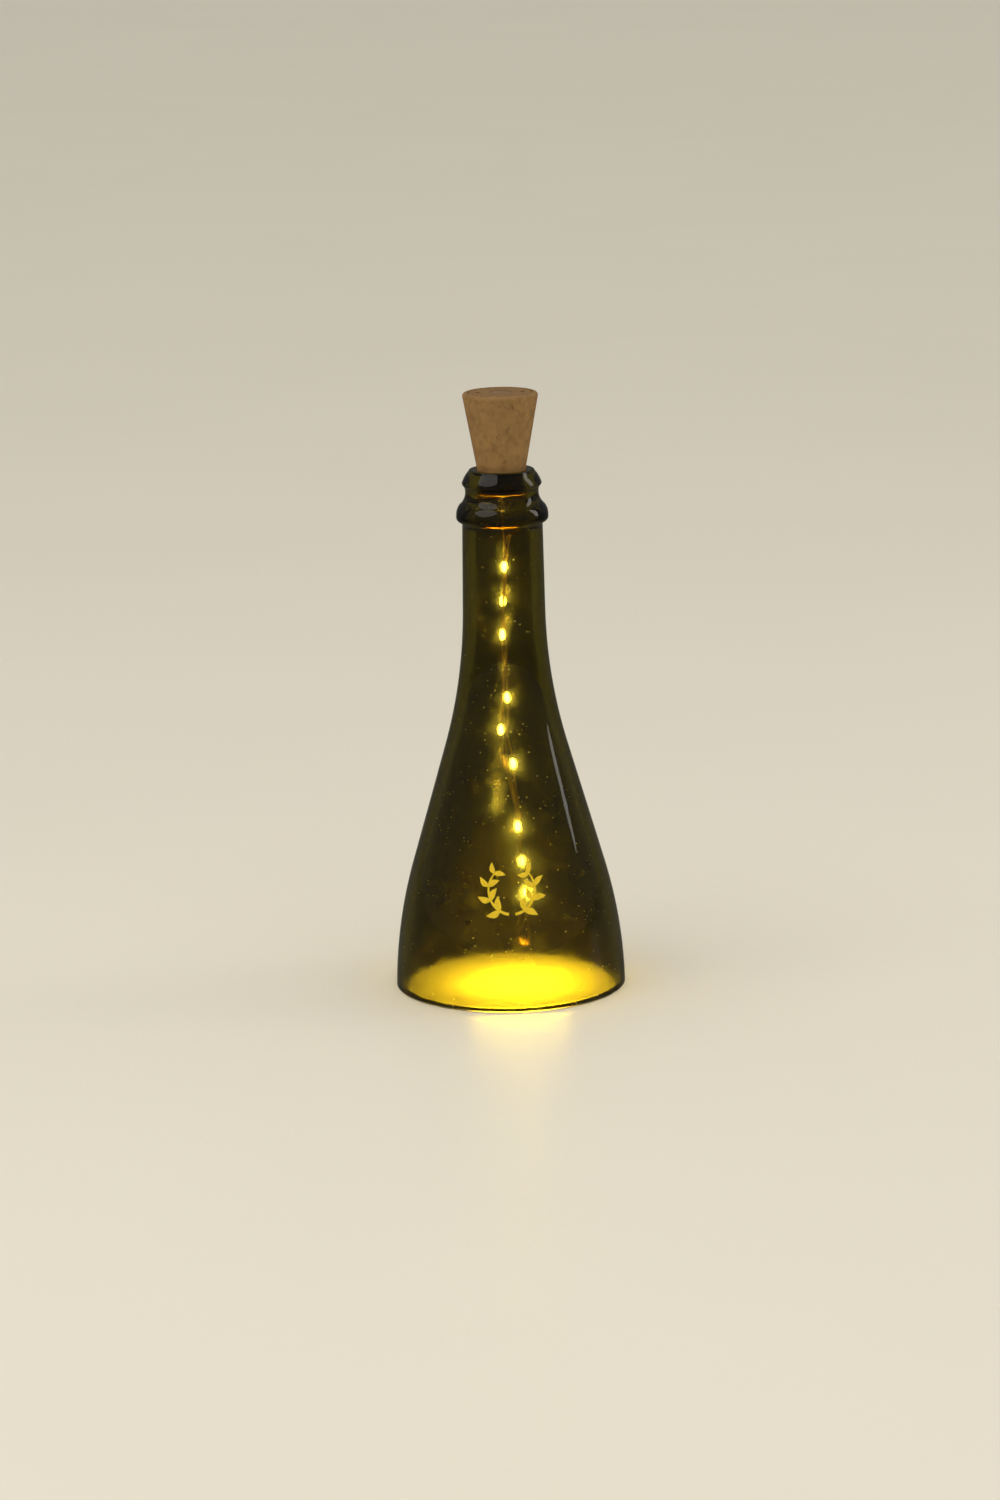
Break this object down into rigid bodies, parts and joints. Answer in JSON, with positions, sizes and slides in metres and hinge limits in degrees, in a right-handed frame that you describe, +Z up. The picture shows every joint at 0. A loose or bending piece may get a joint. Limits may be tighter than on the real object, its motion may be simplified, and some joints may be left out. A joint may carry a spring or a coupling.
{
  "type": "cork bottle light",
  "caption": "Cut glass bottle standing as a lantern, with a battery cork in its mouth that holds a string of small warm lamps on thin copper wire.",
  "frame": {"origin": "centre of the cut glass rim that the bottle stands on, on the surface", "axes": "+Z up along the bottle's axis; -Y is the side that the picture shows"},
  "size_m": [0.0842, 0.0842, 0.2191],
  "materials": {
    "bottle_glass": "dark olive green bottle glass, polished by fire, ground at the cut rim",
    "cork_moulding": "cork-brown moulding with a fine cork grain",
    "cap_moulding": "cork-brown moulding, fine grain",
    "button_plastic": "brown satin moulding",
    "grommet_rubber": "soft translucent rubber",
    "seal_rubber": "black rubber ring",
    "board": "green varnished circuit board",
    "black_part": "black moulded part",
    "plunger_plastic": "white nylon",
    "spring_steel": "nickel-plated spring wire",
    "cell_steel": "nickel-plated steel can and lid",
    "brass_part": "stamped brass",
    "copper_wire": "clear enamelled copper wire",
    "clear_bead": "clear epoxy drop",
    "led_chip": "warm white light chip under yellow phosphor",
    "print_enamel": "fired yellow print on the glass"
  },
  "bodies": {
    "bottle": {"glass_bottle": "bottle_glass"},
    "cork": {"cork_shell": "cork_moulding", "wire_grommet": "grommet_rubber", "wire_leads": "copper_wire", "driver_board": "board", "chip_resistor": "black_part", "negative_spring": "spring_steel", "side_rail": "brass_part", "button_cell_1": "cell_steel", "button_cell_2": "cell_steel", "button_cell_3": "cell_steel", "light_string": "copper_wire", "led_bead_1": "clear_bead", "led_bead_2": "clear_bead", "led_bead_3": "clear_bead", "led_bead_4": "clear_bead", "led_bead_5": "clear_bead", "led_bead_6": "clear_bead", "led_bead_7": "clear_bead", "led_bead_8": "clear_bead", "led_bead_9": "clear_bead", "led_chip_1": "led_chip", "led_chip_2": "led_chip", "led_chip_3": "led_chip", "led_chip_4": "led_chip", "led_chip_5": "led_chip", "led_chip_6": "led_chip", "led_chip_7": "led_chip", "led_chip_8": "led_chip", "led_chip_9": "led_chip"},
    "seal": {"cap_seal": "seal_rubber"},
    "cap": {"battery_cap": "cap_moulding", "cap_board": "board", "positive_contact": "brass_part", "switch_body": "black_part"},
    "button": {"push_button": "button_plastic", "switch_plunger": "plunger_plastic"}
  },
  "joints": [
    {"name": "cork_pull", "type": "slide", "parent": "bottle", "child": "cork", "axis": [0, 0, 1], "range_m": [0, 0.18]},
    {"name": "cap_rise", "type": "slide", "parent": "cork", "child": "seal", "axis": [0, 0, 1], "range_m": [0, 0.003]},
    {"name": "cap_turn", "type": "hinge", "parent": "seal", "child": "cap", "pos_m": [0, 0, 0.2126], "axis": [0, 0, 1], "range_deg": [0, 720]},
    {"name": "button_press", "type": "slide", "parent": "cap", "child": "button", "axis": [0, 0, -1], "range_m": [0, 0.001], "stiffness_N_per_m": 1000, "springref_m": -0.0005}
  ],
  "couplings": [
    {"joint": "cap_rise", "follows": "cap_turn", "m_per_rad": 0.00023873}
  ]
}
